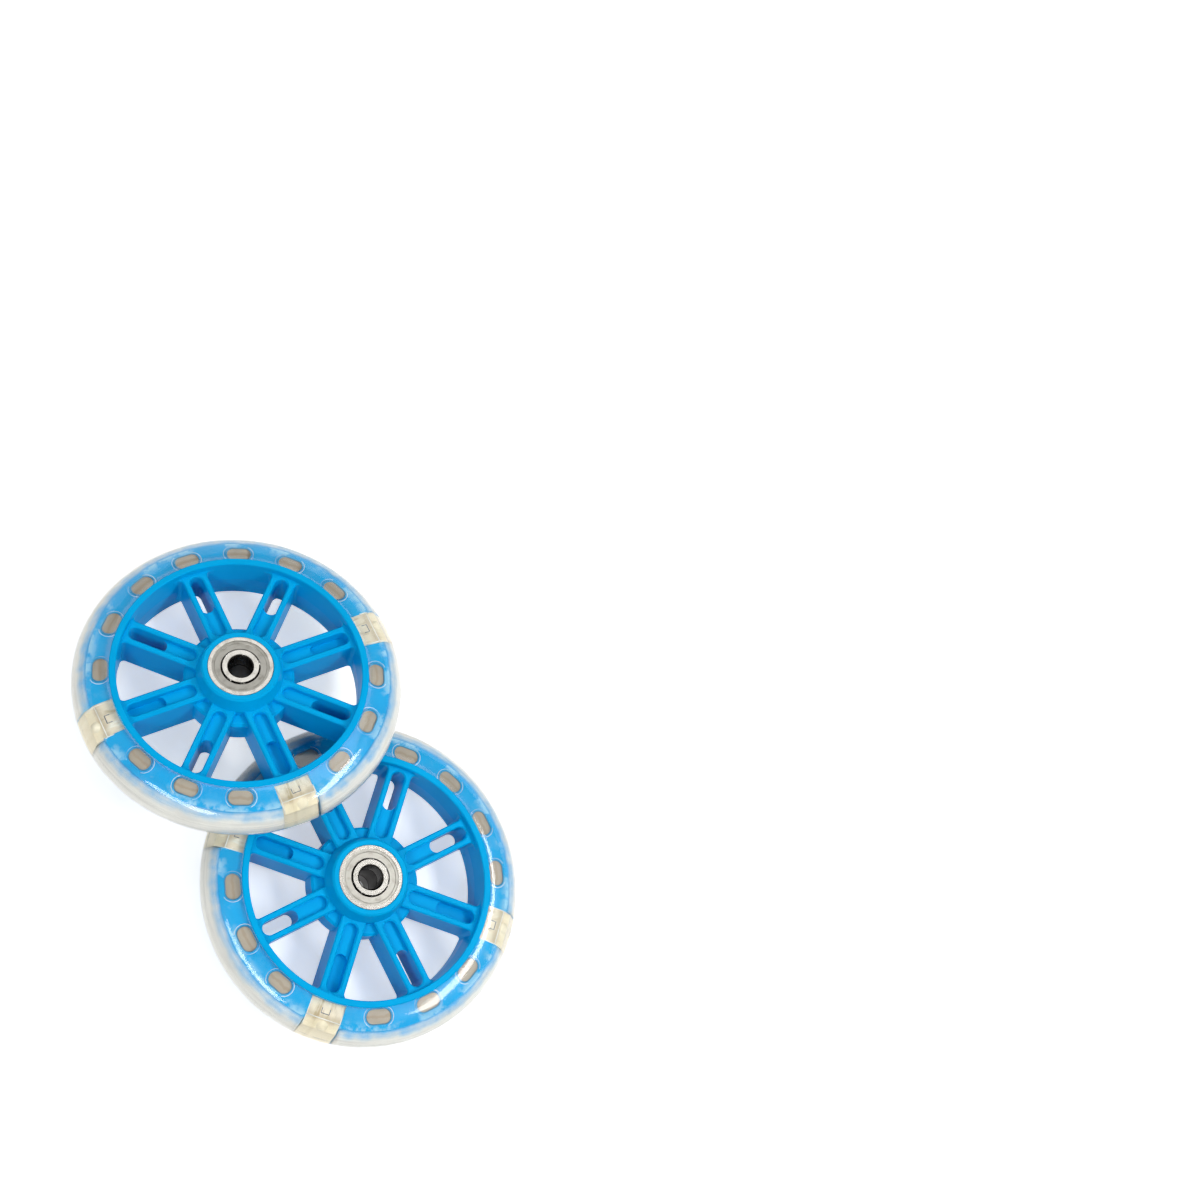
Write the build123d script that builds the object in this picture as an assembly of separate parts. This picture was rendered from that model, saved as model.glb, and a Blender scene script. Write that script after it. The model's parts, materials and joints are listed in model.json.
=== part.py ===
from build123d import *
import math
import os

# Pair of light-up training wheels: one lies flat, the other leans on it
# Sizes in millimetres, angles in degrees; each wheel is made about its own Z axis, mid-plane at Z = 0

# Tyre and rim
tyre_depth = 12.0
tyre_half_width = 9.2
rim_outer_radius = 43.0
rim_half_width = 9.5
rim_wall = 2.3
rim_draft = 0.5
rim_edge = 0.3

# Flanges that key the cast tyre to the rim, with their windows
flange_reach = 7.0
flange_root_height = 7.5
flange_tip_height = 5.8
flange_thickness = 2.5
station_count = 16
window_length = 8.5
window_width = 4.6
window_offset = 0.3

# Spokes: two ribs with a stepped pocket between them on each face
spoke_count = 8
spoke_width = 8.6
spoke_half_depth = 7.0
spoke_edge = 0.45
spoke_flare = 1.5
rib_thickness = 2.0
pocket_start = 1.0
pocket_depth = 2.3
slot_start = 11.5
slot_end_wall = 0.7
lamp_pocket_depth = 4.3

# Hub
hub_half_width = 12.3
boss_wall = 2.1
boss_flare = 1.4
boss_edge = 0.6
seat_edge = 0.15
collar_reach = 4.0
collar_half_width = 4.7
collar_edge = 0.8

# Ball bearings, 8 x 22 x 7
bore_radius = 4.0
bearing_radius = 11.0
bearing_width = 7.0
bearing_recess = 0.1
bearing_shoulder = 1.0
ball_radius = 1.9845
ball_count = 7
race_clearance = 0.075
outer_land = 1.7
inner_land = 1.45
ring_chamfer = 0.2
bore_chamfer = 0.5
shield_ledge = 0.4
shield_setback = 0.3
shield_thickness = 0.4
shield_gap = 0.6
shield_bead = 0.8
shield_dish = 0.2
cage_half_thickness = 0.75
cage_half_width = 2.2

# Generator between the bearings
spacer_wall = 1.0
magnet_wall = 1.9
magnet_end_gap = 1.0
coil_air_gap = 0.5
coil_end_gap = 0.2
bobbin_wall = 0.6
bobbin_flange = 0.8
winding_inset = 0.2

# Lamps in the tyre, on the stations named here, and their leads
lamp_stations = (0, 8, 12)
lamp_width = 12.0
lamp_height = 8.5
lamp_half_depth = 6.5
lamp_bevel = 3.0
board_offset = 3.3
board_thickness = 1.0
board_width = 9.0
board_depth = 9.0
led_radius = 2.3
led_collar = 1.3
lead_width = 2.0
lead_thickness = 1.0

# How the pair lies
centre_distance = 79.0
upper_spin = 77.0
lower_spin = 37.7
rest_gap = 0.05

# Sizes that follow from those above
rim_inner_radius = rim_outer_radius - rim_wall
boss_radius = bearing_radius + boss_wall
boss_base_radius = boss_radius + boss_flare
collar_radius = boss_base_radius + collar_reach
bearing_face = hub_half_width - bearing_recess
seat_floor = bearing_face - bearing_width
bearing_middle = bearing_face - bearing_width / 2
middle_bore_radius = bearing_radius - bearing_shoulder
pitch_radius = (bore_radius + bearing_radius) / 2
pocket_inner_radius = boss_base_radius + pocket_start
slot_inner_radius = boss_base_radius + slot_start
slot_outer_radius = rim_inner_radius - rim_draft - slot_end_wall
pocket_width = spoke_width - 2 * rib_thickness
station_angle = 360 / station_count
spoke_angle = 360 / spoke_count
tread_radius = rim_outer_radius + tyre_depth
winding_radius = middle_bore_radius - winding_inset
board_radius = rim_outer_radius + board_offset


def section(points):
    """A face in the XZ plane from (radius, height) points."""
    return make_face(Polyline(*[(r, 0, z) for r, z in points], close=True))


def turned(points):
    """A solid of revolution about Z from (radius, height) points."""
    return revolve(section(points), Axis.Z)


def both_ways(points):
    """A profile for the upper half, from the mid-plane out, joined to its mirror image."""
    return points + [(r, -z) for r, z in reversed(points) if z > 0]


def around(angle, shape):
    return Rot(0, 0, angle) * shape


def slot_bar(start, end, width, bottom, top):
    """An upright bar with round ends that lies along X from start to end."""
    plan = Pos((start + end) / 2, 0, bottom) * SlotOverall(end - start, width)
    return extrude(plan, top - bottom, dir=(0, 0, 1))


def spoke(has_lead):
    """Two ribs along X, with pockets in both faces and a through slot or, over a lead, a floor."""
    inner_end = (bearing_radius + boss_radius) / 2
    outer_end = rim_outer_radius - rim_wall / 2
    wall_start = rim_inner_radius - rim_draft / 2
    bar = Pos((inner_end + outer_end) / 2, 0) * Rectangle(outer_end - inner_end, spoke_width)
    strip = Pos(outer_end, 0) * Rectangle(spoke_width, spoke_width + 4 * spoke_flare)
    plan = bar + ((Circle(outer_end) - Circle(wall_start)) & strip)
    ends = plan.vertices().filter_by(lambda v: slot_inner_radius < v.X < rim_inner_radius)
    plan = fillet(ends.filter_by(lambda v: abs(abs(v.Y) - spoke_width / 2) < spoke_edge), spoke_flare)
    body = extrude(plan, spoke_half_depth, both=True)
    for side in (1, -1):
        floor = side * (spoke_half_depth - pocket_depth)
        top = side * (spoke_half_depth + 1)
        low, high = sorted((floor, top))
        body -= slot_bar(pocket_inner_radius, slot_outer_radius, pocket_width, low, high)
        if has_lead:
            deep = side * (spoke_half_depth - lamp_pocket_depth)
            low, high = sorted((deep, top))
            body -= slot_bar(slot_inner_radius, slot_outer_radius, pocket_width, low, high)
    if not has_lead:
        body -= slot_bar(slot_inner_radius, slot_outer_radius, pocket_width, -spoke_half_depth, spoke_half_depth)
    faces = body.faces().filter_by(Axis.Z).sort_by(Axis.Z)
    return chamfer(faces[-1].edges() + faces[0].edges(), spoke_edge)


def rim_with_flanges():
    """The rim band and its two flanges, with windows at most stations and notches for the lamps."""
    inner_edge = (rim_inner_radius, rim_half_width - rim_edge)
    inner_corner = (rim_inner_radius + rim_edge, rim_half_width)
    outer_corner = (rim_outer_radius - rim_edge, rim_half_width)
    outer_edge = (rim_outer_radius, rim_half_width - rim_edge)
    waist = (rim_inner_radius - rim_draft, 0)
    rim = turned(both_ways([waist, inner_edge, inner_corner, outer_corner, outer_edge]))
    root = rim_outer_radius - rim_wall / 2
    tip = rim_outer_radius + flange_reach
    slope = (flange_root_height - flange_tip_height) / flange_reach
    root_height = flange_root_height + slope * rim_wall / 2
    profile = [(root, root_height), (tip, flange_tip_height)]
    profile += [(r, z - flange_thickness) for r, z in reversed(profile)]
    window_radius = rim_outer_radius + window_offset + window_width / 2
    window = Pos(window_radius, 0) * Rot(0, 0, 90) * SlotOverall(window_length, window_width)
    notch = Pos(tip, 0) * Rectangle(4 * flange_reach, lamp_width)
    plan = [around(i * station_angle, notch if i in lamp_stations else window) for i in range(station_count)]
    cuts = [extrude(shape, rim_half_width, dir=(0, 0, 1)) for shape in plan]
    flange = turned(profile) - cuts
    return rim + [flange, mirror(flange, Plane.XY)]


def lamp_block():
    """The block on the outside of the rim band at station 0, bevelled at its outer end."""
    root = rim_outer_radius - rim_wall / 2
    top = rim_outer_radius + lamp_height
    shoulder = top - lamp_bevel
    points = [(root, -lamp_half_depth), (shoulder, -lamp_half_depth), (top, lamp_bevel - lamp_half_depth)]
    points += [(top, lamp_half_depth - lamp_bevel), (shoulder, lamp_half_depth), (root, lamp_half_depth)]
    block = extrude(section(points), lamp_width / 2, both=True)
    return block - Cylinder(rim_outer_radius, 4 * rim_half_width)


def hub():
    """The hub boss with a bearing seat at each end, and the collar that carries the spokes' inner ends."""
    upper = [(middle_bore_radius, seat_floor), (bearing_radius, seat_floor)]
    upper += [(bearing_radius, hub_half_width - seat_edge), (bearing_radius + seat_edge, hub_half_width)]
    upper += [(boss_radius - boss_edge, hub_half_width), (boss_radius, hub_half_width - boss_edge)]
    upper += [(boss_base_radius, spoke_half_depth), (boss_base_radius, collar_half_width)]
    upper += [(collar_radius - collar_edge, collar_half_width), (collar_radius, collar_half_width - collar_edge)]
    return turned(both_ways(upper))


def tyre_blank():
    """A half-elliptical band that reaches into the rim band."""
    root = rim_outer_radius - rim_wall / 2
    top = (rim_outer_radius, 0, tyre_half_width)
    bottom = (rim_outer_radius, 0, -tyre_half_width)
    plane = Plane((rim_outer_radius, 0, 0), x_dir=(1, 0, 0), z_dir=(0, -1, 0))
    tread = plane * EllipticalCenterArc((0, 0), tyre_depth, tyre_half_width, start_angle=-90, arc_size=180)
    back = Polyline(top, (root, 0, tyre_half_width), (root, 0, -tyre_half_width), bottom)
    return revolve(make_face(tread + back), Axis.Z)


def lamp():
    """Case, light and board of one lamp, and the lead that runs out to it, at station 0."""
    board_top = board_radius + board_thickness
    board = Pos((board_radius + board_top) / 2, 0) * Box(board_thickness, board_width, board_depth)
    outward = Plane((board_top, 0, 0), z_dir=(1, 0, 0))
    led = outward * Pos(0, 0, led_collar / 2) * Cylinder(led_radius, led_collar)
    led += Pos(board_top + led_collar, 0) * Sphere(led_radius)
    lead_plane = Plane((winding_radius, 0, 0), x_dir=(0, 1, 0), z_dir=(1, 0, 0))
    lead = extrude(lead_plane * SlotOverall(lead_width, lead_thickness), board_radius - winding_radius)
    led -= board
    case = lamp_block() - [board, led, lead]
    return {"lamp_case": case, "lamp_led": led, "lamp_board": board, "lamp_lead": lead}


def bearing():
    """One shielded ball bearing about the origin, with its outer side at +Z."""
    half = bearing_width / 2
    outer_land_radius = pitch_radius + outer_land
    inner_land_radius = pitch_radius - inner_land
    shield_radius = outer_land_radius + shield_ledge
    shield_face = half - shield_setback
    ledge = shield_face - shield_thickness
    race = Torus(pitch_radius, ball_radius + race_clearance)
    outer = [(outer_land_radius, ledge), (shield_radius, ledge), (shield_radius, half)]
    outer += [(bearing_radius - ring_chamfer, half), (bearing_radius, half - ring_chamfer)]
    inner = [(bore_radius, half - bore_chamfer), (bore_radius + bore_chamfer, half), (inner_land_radius, half)]
    ball = Pos(pitch_radius, 0) * Sphere(ball_radius)
    pocket = Pos(pitch_radius, 0) * Rot(0, 90, 0) * Cylinder(ball_radius + race_clearance, 4 * cage_half_thickness)
    spread = [Rot(0, 0, i * 360 / ball_count) for i in range(ball_count)]
    cage_outer = pitch_radius + cage_half_thickness
    cage_inner = pitch_radius - cage_half_thickness
    cage = turned(both_ways([(cage_inner, cage_half_width), (cage_outer, cage_half_width)]))
    lip = inner_land_radius + shield_gap
    bead = shield_radius - shield_bead
    shield = [(lip, ledge - shield_dish), (bead - shield_dish, ledge - shield_dish), (bead, ledge)]
    shield += [(shield_radius, ledge)]
    outer_shield = turned(shield + [(r, z + shield_thickness) for r, z in reversed(shield)])
    return {
        "outer_ring": turned(both_ways(outer)) - race,
        "inner_ring": turned(both_ways(inner)) - race,
        "balls": Compound([turn * ball for turn in spread]),
        "cage": cage - [turn * pocket for turn in spread],
        "outer_shield": outer_shield,
        "inner_shield": mirror(outer_shield, Plane.XY),
    }


def wheel():
    """All pieces of one wheel, by name."""
    band = rim_with_flanges()
    one_lamp = lamp()
    lamp_angles = [i * station_angle for i in lamp_stations]
    spokes = {flag: spoke(flag) for flag in (True, False)}
    arms = []
    for i in range(spoke_count):
        carries_lead = any(abs(i * spoke_angle - angle) < station_angle / 2 for angle in lamp_angles)
        arms.append(around(i * spoke_angle, spokes[carries_lead]))
    leads = [around(angle, one_lamp["lamp_lead"]) for angle in lamp_angles]
    blocks = [around(angle, lamp_block()) for angle in lamp_angles]
    pieces = {"core": hub() + [band] + arms - leads, "tyre": tyre_blank() - blocks - band}
    for name, shape in one_lamp.items():
        for number, angle in enumerate(lamp_angles, 1):
            pieces[f"{name}_{number}"] = around(angle, shape)
    one_bearing = bearing()
    for name, shape in one_bearing.items():
        pieces[f"front_{name}"] = Pos(0, 0, bearing_middle) * shape
        pieces[f"rear_{name}"] = Pos(0, 0, -bearing_middle) * Rot(180, 0, 0) * shape
    spacer_radius = bore_radius + spacer_wall
    magnet_radius = spacer_radius + magnet_wall
    pieces["spacer"] = turned(both_ways([(bore_radius, seat_floor), (spacer_radius, seat_floor)]))
    magnet_end = seat_floor - magnet_end_gap
    pieces["magnet"] = turned(both_ways([(spacer_radius, magnet_end), (magnet_radius, magnet_end)]))
    bobbin_end = seat_floor - coil_end_gap
    sleeve = magnet_radius + coil_air_gap
    winding_end = bobbin_end - bobbin_flange
    bobbin = [(sleeve + bobbin_wall, winding_end), (middle_bore_radius, winding_end)]
    bobbin += [(middle_bore_radius, bobbin_end), (sleeve, bobbin_end)]
    winding = [(sleeve + bobbin_wall, winding_end), (winding_radius, winding_end)]
    pieces["coil_bobbin"] = turned([*bobbin, *[(r, -z) for r, z in reversed(bobbin)]])
    pieces["coil_winding"] = turned(both_ways(winding))
    return pieces


def half_height(radius):
    """How far the wheel reaches from its mid-plane at a radius."""
    if radius <= boss_radius:
        return hub_half_width
    if radius < rim_inner_radius:
        return spoke_half_depth
    if radius <= rim_outer_radius:
        return rim_half_width
    return tyre_half_width * math.sqrt(max(0, 1 - ((radius - rim_outer_radius) / tyre_depth) ** 2))


def tyre_support(lean):
    """How far the tyre reaches straight down and straight sideways from the wheel's centre when it leans."""
    c = math.cos(lean)
    s = math.sin(lean)
    down = rim_outer_radius * s + math.hypot(tyre_depth * s, tyre_half_width * c)
    side = rim_outer_radius * c + math.hypot(tyre_depth * c, tyre_half_width * s)
    return down, side


def clearance(lean):
    """Least height of the leaning wheel's underside over the flat wheel, with its edge on the floor."""
    c = math.cos(lean)
    s = math.sin(lean)
    lift = tyre_support(lean)[0] - hub_half_width
    steps = 60
    turns = 720
    least = tread_radius
    for i in range(steps + 1):
        radius = rim_inner_radius + (tread_radius - rim_inner_radius) * i / steps
        depth = half_height(radius)
        for j in range(turns + 1):
            along = radius * math.cos(math.pi * j / turns)
            across = radius * math.sin(math.pi * j / turns)
            reach = math.hypot(along * c + depth * s - centre_distance, across)
            if reach < tread_radius:
                least = min(least, lift + along * s - depth * c - half_height(reach))
    return least


def resting_lean():
    """The lean at which the upper wheel comes to rest on the lower one."""
    low = 0.0
    high = math.pi / 3
    for _ in range(20):
        middle = (low + high) / 2
        if clearance(middle) < rest_gap:
            low = middle
        else:
            high = middle
    return high


lean = resting_lean()
upper_height, upper_reach = tyre_support(lean)
lower_x = (centre_distance + upper_reach - tread_radius) / 2
places = {
    "upper": Pos(lower_x - centre_distance, 0, upper_height) * Rot(0, -math.degrees(lean), 0) * Rot(0, 0, upper_spin),
    "lower": Pos(lower_x, 0, hub_half_width) * Rot(0, 0, lower_spin),
}

os.makedirs("parts", exist_ok=True)
one_wheel = wheel()
for side, place in places.items():
    for name, shape in one_wheel.items():
        export_step(place * shape, f"parts/{side}_{name}.step")
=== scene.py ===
import json
import math

import bpy
from bpy.props import FloatProperty, FloatVectorProperty, IntProperty, PointerProperty
from mathutils import Matrix, Vector


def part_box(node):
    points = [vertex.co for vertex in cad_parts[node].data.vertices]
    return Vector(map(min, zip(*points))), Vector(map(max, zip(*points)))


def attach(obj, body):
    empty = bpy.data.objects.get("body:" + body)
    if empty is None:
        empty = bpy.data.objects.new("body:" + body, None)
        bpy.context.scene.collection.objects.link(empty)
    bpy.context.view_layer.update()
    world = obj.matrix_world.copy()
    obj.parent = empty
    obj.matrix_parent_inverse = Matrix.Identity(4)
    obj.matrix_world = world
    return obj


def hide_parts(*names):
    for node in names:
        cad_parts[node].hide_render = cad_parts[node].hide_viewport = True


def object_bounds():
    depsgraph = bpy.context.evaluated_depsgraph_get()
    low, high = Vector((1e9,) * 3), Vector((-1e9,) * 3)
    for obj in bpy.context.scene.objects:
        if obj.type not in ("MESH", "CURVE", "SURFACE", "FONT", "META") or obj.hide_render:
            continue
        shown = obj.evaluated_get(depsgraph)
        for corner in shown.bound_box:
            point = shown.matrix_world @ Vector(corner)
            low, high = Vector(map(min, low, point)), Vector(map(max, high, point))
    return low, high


bl_info = {
    "name": "Light-up training wheels",
    "version": (1, 0, 0),
    "blender": (4, 5, 0),
    "location": "View3D > Sidebar > Wheels",
    "description": "Dresses the pair of light-up training wheels and sets the studio round them",
    "category": "Object",
}

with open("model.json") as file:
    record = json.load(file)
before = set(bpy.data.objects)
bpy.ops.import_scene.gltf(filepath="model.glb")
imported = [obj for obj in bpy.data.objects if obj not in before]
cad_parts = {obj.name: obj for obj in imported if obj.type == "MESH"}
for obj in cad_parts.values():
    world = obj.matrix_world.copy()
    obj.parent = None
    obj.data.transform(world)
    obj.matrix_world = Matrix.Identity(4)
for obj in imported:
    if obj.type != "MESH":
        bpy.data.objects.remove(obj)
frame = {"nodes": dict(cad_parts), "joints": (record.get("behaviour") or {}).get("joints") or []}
CAD_BOX = [list(corner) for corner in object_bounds()]
SIDES = ("upper", "lower")
MM = 0.001
STATIONS = 16
LAMP_STATIONS = (0, 8, 12)
TUBE_SIDES = 6
WINDOW_LAP = 0.3 * MM
RIDGE_LAP = 1.7 * MM


def wheel_matrix(side):
    """A wheel's own axes in the row frame: Z along its axle, X towards its first lamp."""
    joint = next(j for j in frame["joints"] if j["name"] == f"{side}_axle_spin")
    centre = Vector(joint["pos_m"])
    up = Vector(joint["axis"]).normalized()
    low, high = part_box(f"{side}_lamp_case_1")
    towards = (Vector(low) + Vector(high)) / 2 - centre
    ahead = (towards - up * towards.dot(up)).normalized()
    turn = Matrix((ahead, up.cross(ahead), up)).transposed().to_4x4()
    return Matrix.Translation(centre) @ turn


WHEELS = {side: wheel_matrix(side) for side in SIDES}
LOWER_LOW, LOWER_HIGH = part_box("lower_tyre")
TREAD_RADIUS = (LOWER_HIGH[0] - LOWER_LOW[0]) / 2
TYRE_HALF_WIDTH = (LOWER_HIGH[2] - LOWER_LOW[2]) / 2


class WheelSizes(bpy.types.PropertyGroup):
    """Sizes of what is made here and not in the CAD model."""

    tread_radius: FloatProperty(
        name="Tread radius", description="Radius of the tyre at its middle", default=TREAD_RADIUS,
        unit="LENGTH")
    tyre_half_width: FloatProperty(
        name="Tyre half width", description="Half of the tyre's width at the rim", default=TYRE_HALF_WIDTH,
        unit="LENGTH")
    rim_radius: FloatProperty(
        name="Rim radius", description="Outside radius of the rim band", default=43 * MM, unit="LENGTH")
    bore_radius: FloatProperty(
        name="Bore radius", description="Radius of the bearings' bore", default=4 * MM, unit="LENGTH")
    flange_height: FloatProperty(
        name="Flange height", description="Height of the flanges' faces at the rim band", default=7.5 * MM,
        unit="LENGTH")
    flange_slope: FloatProperty(
        name="Flange slope", description="Fall of the flanges' faces outwards", default=1.7 / 7.0)
    window_length: FloatProperty(
        name="Window length", description="Length of a flange window", default=8.5 * MM, unit="LENGTH")
    window_width: FloatProperty(
        name="Window width", description="Width of a flange window", default=4.6 * MM, unit="LENGTH")
    window_offset: FloatProperty(
        name="Window offset", description="Distance of a window's middle from the rim band", default=2.6 * MM,
        unit="LENGTH")
    seam_height: FloatProperty(
        name="Seam height", description="Distance of each tread seam from the mid-plane", default=2.6 * MM,
        unit="LENGTH")
    seam_depth: FloatProperty(
        name="Seam depth", description="Depth of the tread seams", default=0.14 * MM, unit="LENGTH")
    lip_radius: FloatProperty(
        name="Lip radius", description="Half the thickness of the lip round each flange window",
        default=0.2 * MM, unit="LENGTH")
    ridge_radius: FloatProperty(
        name="Ridge radius", description="Half the thickness of the ridges past each window's ends",
        default=0.14 * MM, unit="LENGTH")
    turns: IntProperty(name="Steps", description="Steps round the tyre", default=192, min=48)


class WheelColours(bpy.types.PropertyGroup):
    """Main colours, linear."""

    blue: FloatVectorProperty(
        name="Blue", description="Moulded core", default=(0.0, 0.385, 0.77), size=3, subtype="COLOR")
    blue_deep: FloatVectorProperty(
        name="Deep blue", description="Shaded tone of the core's plastic", default=(0.0, 0.31, 0.66), size=3,
        subtype="COLOR")
    clear: FloatVectorProperty(
        name="Clear tyre", description="Tint of the cast polyurethane", default=(0.93, 0.92, 0.885), size=3,
        subtype="COLOR")
    cream: FloatVectorProperty(
        name="Cream resin", description="Lamp cases", default=(0.90, 0.80, 0.62), size=3, subtype="COLOR")
    tan: FloatVectorProperty(
        name="Tan filling", description="Polyurethane in the flange windows", default=(0.45, 0.375, 0.285),
        size=3, subtype="COLOR")
    haze: FloatVectorProperty(
        name="Haze", description="Cloudy polyurethane under the tread", default=(0.80, 0.80, 0.765), size=3,
        subtype="COLOR")
    steel: FloatVectorProperty(
        name="Bearing steel", description="Bearing rings", default=(0.48, 0.465, 0.43), size=3,
        subtype="COLOR")
    floor: FloatVectorProperty(
        name="Floor", description="Pale floor and backdrop", default=(0.93, 0.93, 0.93), size=3,
        subtype="COLOR")


class StageSettings(bpy.types.PropertyGroup):
    """Camera and light."""

    lens: FloatProperty(name="Lens", description="Focal length in millimetres", default=72.0)
    world: FloatProperty(name="World light", description="Strength of the even light", default=0.42)
    rear: FloatProperty(name="Rear light", description="Power of the rear softbox", default=1.6, unit="POWER")
    left: FloatProperty(
        name="Left light", description="Power of the left softbox", default=3.7, unit="POWER")
    right: FloatProperty(
        name="Right light", description="Power of the right softbox", default=5.3, unit="POWER")
    floor_lift: FloatProperty(
        name="Floor lift", description="Light that the floor adds where it is seen", default=0.5)
    backdrop_lift: FloatProperty(
        name="Backdrop lift", description="Light that the backdrop adds where it is seen", default=0.7)
    room: FloatProperty(name="Room", description="Radius of the round backdrop", default=10.0, unit="LENGTH")


def sizes():
    return bpy.context.scene.wheel_sizes


def colours():
    return bpy.context.scene.wheel_colours


def stage_settings():
    return bpy.context.scene.wheel_stage


class Nodes:
    """Short words for making and joining shader nodes in one tree."""

    def __init__(self, tree):
        self.tree = tree

    def add(self, kind, **values):
        node = self.tree.nodes.new(kind)
        for name, value in values.items():
            if hasattr(node, name):
                setattr(node, name, value)
            else:
                self.put(node.inputs[name.replace("_", " ")], value)
        return node

    def put(self, socket, value):
        if isinstance(value, bpy.types.NodeSocket):
            self.tree.links.new(value, socket)
        elif isinstance(value, (tuple, list)) and len(value) == 3 and socket.type == "RGBA":
            socket.default_value = (*value, 1.0)
        else:
            socket.default_value = value

    def maths(self, operation, a, b=0.0):
        node = self.tree.nodes.new("ShaderNodeMath")
        node.operation = operation
        self.put(node.inputs[0], a)
        self.put(node.inputs[1], b)
        return node.outputs[0]

    def ramp(self, value, low, high):
        """0 below low and 1 above high, eased between them."""
        node = self.tree.nodes.new("ShaderNodeMapRange")
        node.interpolation_type = "SMOOTHSTEP"
        self.put(node.inputs["Value"], value)
        self.put(node.inputs["From Min"], low)
        self.put(node.inputs["From Max"], high)
        return node.outputs["Result"]

    def mix(self, factor, a, b):
        node = self.tree.nodes.new("ShaderNodeMix")
        node.data_type = "RGBA"
        self.put(node.inputs[0], factor)
        self.put(node.inputs[6], a)
        self.put(node.inputs[7], b)
        return node.outputs[2]

    def noise(self, vector, scale, detail=3.0, roughness=0.5):
        node = self.tree.nodes.new("ShaderNodeTexNoise")
        self.put(node.inputs["Vector"], vector)
        self.put(node.inputs["Scale"], scale)
        self.put(node.inputs["Detail"], detail)
        self.put(node.inputs["Roughness"], roughness)
        return node.outputs["Fac"]


def new_group(name, inputs, outputs):
    """An empty shader group with named sockets, or None if it is there already."""
    if name in bpy.data.node_groups:
        return None
    group = bpy.data.node_groups.new(name, "ShaderNodeTree")
    for label, kind, value in inputs:
        socket = group.interface.new_socket(name=label, in_out="INPUT", socket_type=kind)
        socket.default_value = value
    for label, kind in outputs:
        group.interface.new_socket(name=label, in_out="OUTPUT", socket_type=kind)
    return group


def wheel_place_group():
    """A point's place on its wheel: distance from the axle, height over the mid-plane and turn."""
    name = "wheel place"
    group = new_group(
        name,
        [("Centre", "NodeSocketVector", (0, 0, 0)), ("Lean", "NodeSocketVector", (0, 0, 0))],
        [("Local", "NodeSocketVector"), ("Radius", "NodeSocketFloat"), ("Height", "NodeSocketFloat"),
         ("Turn", "NodeSocketFloat")])
    if group is None:
        return bpy.data.node_groups[name]
    n = Nodes(group)
    given = n.add("NodeGroupInput")
    out = n.add("NodeGroupOutput")
    place = n.add("ShaderNodeTexCoord")
    mapping = n.add("ShaderNodeMapping", vector_type="TEXTURE")
    n.put(mapping.inputs["Vector"], place.outputs["Object"])
    n.put(mapping.inputs["Location"], given.outputs["Centre"])
    n.put(mapping.inputs["Rotation"], given.outputs["Lean"])
    local = mapping.outputs["Vector"]
    split = n.add("ShaderNodeSeparateXYZ")
    n.put(split.inputs[0], local)
    x, y, z = split.outputs
    radius = n.maths("SQRT", n.maths("ADD", n.maths("MULTIPLY", x, x), n.maths("MULTIPLY", y, y)))
    n.put(out.inputs["Local"], local)
    n.put(out.inputs["Radius"], radius)
    n.put(out.inputs["Height"], z)
    n.put(out.inputs["Turn"], n.maths("ARCTAN2", y, x))
    return group


def moulding_group():
    """Moulded plastic: slow colour drift, gloss drift and a fine skin."""
    name = "moulded skin"
    group = new_group(
        name,
        [("Local", "NodeSocketVector", (0, 0, 0)), ("Colour", "NodeSocketColor", (0.5, 0.5, 0.5, 1)),
         ("Deep", "NodeSocketColor", (0.3, 0.3, 0.3, 1)), ("Drift", "NodeSocketFloat", 0.3),
         ("Gloss", "NodeSocketFloat", 0.35)],
        [("Colour", "NodeSocketColor"), ("Roughness", "NodeSocketFloat"), ("Skin", "NodeSocketFloat")])
    if group is None:
        return bpy.data.node_groups[name]
    n = Nodes(group)
    given = n.add("NodeGroupInput")
    out = n.add("NodeGroupOutput")
    local = given.outputs["Local"]
    slow = n.noise(local, 90.0, 3.0)
    fine = n.noise(local, 2600.0, 2.0)
    drift = n.maths("MULTIPLY", n.ramp(slow, 0.35, 0.75), given.outputs["Drift"])
    n.put(out.inputs["Colour"], n.mix(drift, given.outputs["Colour"], given.outputs["Deep"]))
    rough = n.maths("ADD", given.outputs["Gloss"], n.maths("MULTIPLY", n.maths("SUBTRACT", slow, 0.5), 0.12))
    n.put(out.inputs["Roughness"], rough)
    n.put(out.inputs["Skin"], n.maths("ADD", n.maths("MULTIPLY", slow, 0.7), n.maths("MULTIPLY", fine, 0.3)))
    return group


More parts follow.
